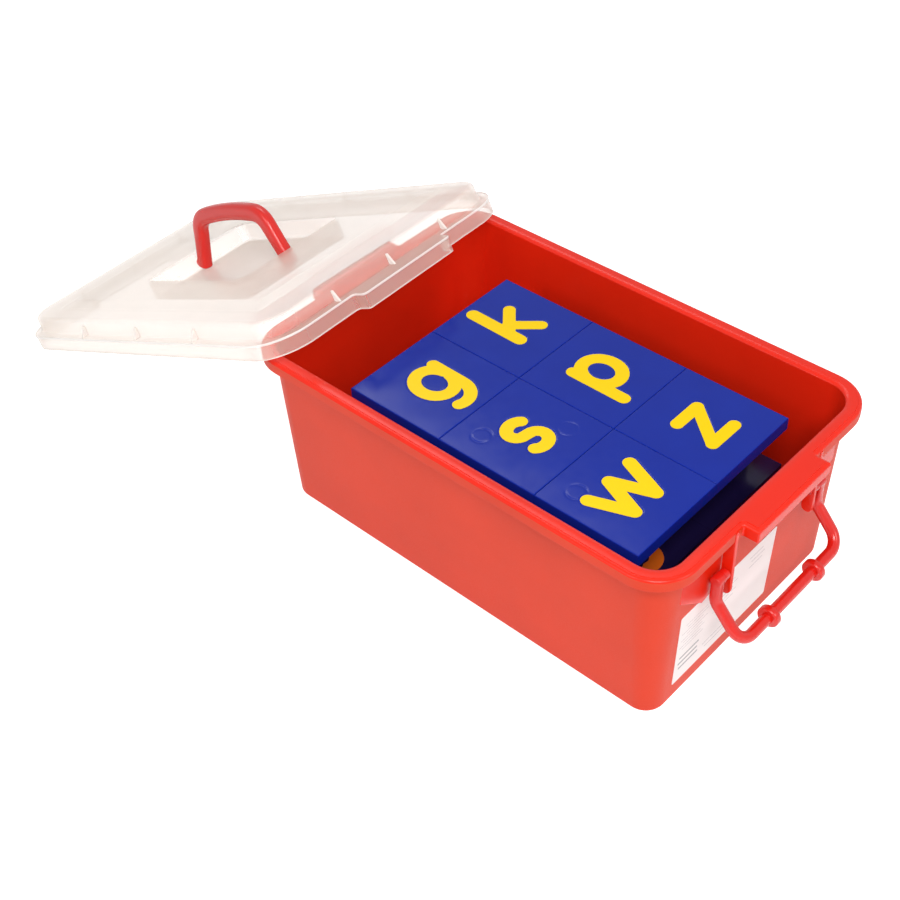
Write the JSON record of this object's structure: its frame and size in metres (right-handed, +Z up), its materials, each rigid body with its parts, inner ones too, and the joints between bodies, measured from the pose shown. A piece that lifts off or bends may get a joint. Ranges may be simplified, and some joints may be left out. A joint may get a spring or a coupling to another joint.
{
  "type": "art supply box",
  "caption": "Tapered plastic tub of square letter tiles with a clear lid leaning on its end, a folding lid handle and swinging clip handles.",
  "frame": {"origin": "centre of the tub's base, on the surface that it stands on", "axes": "+X along the tub towards the labelled end, away from the lid; +Z up"},
  "size_m": [0.7228, 0.2646, 0.1869],
  "materials": {
    "tub_red": "satin",
    "handle_red": "gloss",
    "lid_frosted": "frosted",
    "label_paper": "matte paper",
    "tile_blue": "gloss",
    "letter_yellow": "gloss",
    "letter_orange": "gloss"
  },
  "bodies": {
    "tub": {"tub": "tub_red", "label": "label_paper"},
    "lid": {"lid": "lid_frosted"},
    "lid_handle": {"lid_handle": "handle_red"},
    "near_clip": {"near_clip_handle": "handle_red"},
    "far_clip": {"far_clip_handle": "handle_red"},
    "tiles": {"tile_k": "tile_blue", "letter_k": "letter_yellow", "tile_p": "tile_blue", "letter_p": "letter_yellow", "tile_z": "tile_blue", "letter_z": "letter_yellow", "tile_g": "tile_blue", "letter_g": "letter_yellow", "tile_s": "tile_blue", "letter_s": "letter_yellow", "tile_w": "tile_blue", "letter_w": "letter_yellow", "riser_tiles_1": "tile_blue", "riser_tiles_2": "tile_blue", "riser_tiles_3": "tile_blue", "lower_tiles_1": "tile_blue", "lower_tiles_2": "tile_blue", "lower_tiles_3": "tile_blue", "lower_tiles_4": "tile_blue", "lower_tiles_5": "tile_blue", "lower_tiles_6": "tile_blue", "lower_tiles_7": "tile_blue", "lower_tiles_8": "tile_blue", "letter_j": "letter_orange"}
  },
  "joints": [
    {"name": "near_clip_hinge", "type": "hinge", "parent": "tub", "child": "near_clip", "pos_m": [0.1865, 0, 0.1075], "axis": [0, -1, 0], "range_deg": [0, 143]},
    {"name": "far_clip_hinge", "type": "hinge", "parent": "tub", "child": "far_clip", "pos_m": [-0.1865, 0, 0.1075], "axis": [0, 1, 0], "range_deg": [0, 143]},
    {"name": "lid_lift", "type": "slide", "parent": "tub", "child": "lid", "axis": [0, 0, 1], "range_m": [0, 0.15]},
    {"name": "lid_handle_hinge", "type": "hinge", "parent": "lid", "child": "lid_handle", "pos_m": [-0.32036, -0.01191, 0.10347], "axis": [0.9097, 0.0229, 0.4147], "range_deg": [-84, 95]},
    {"name": "tiles_lift", "type": "slide", "parent": "tub", "child": "tiles", "axis": [0, 0, 1], "range_m": [0, 0.16]}
  ]
}
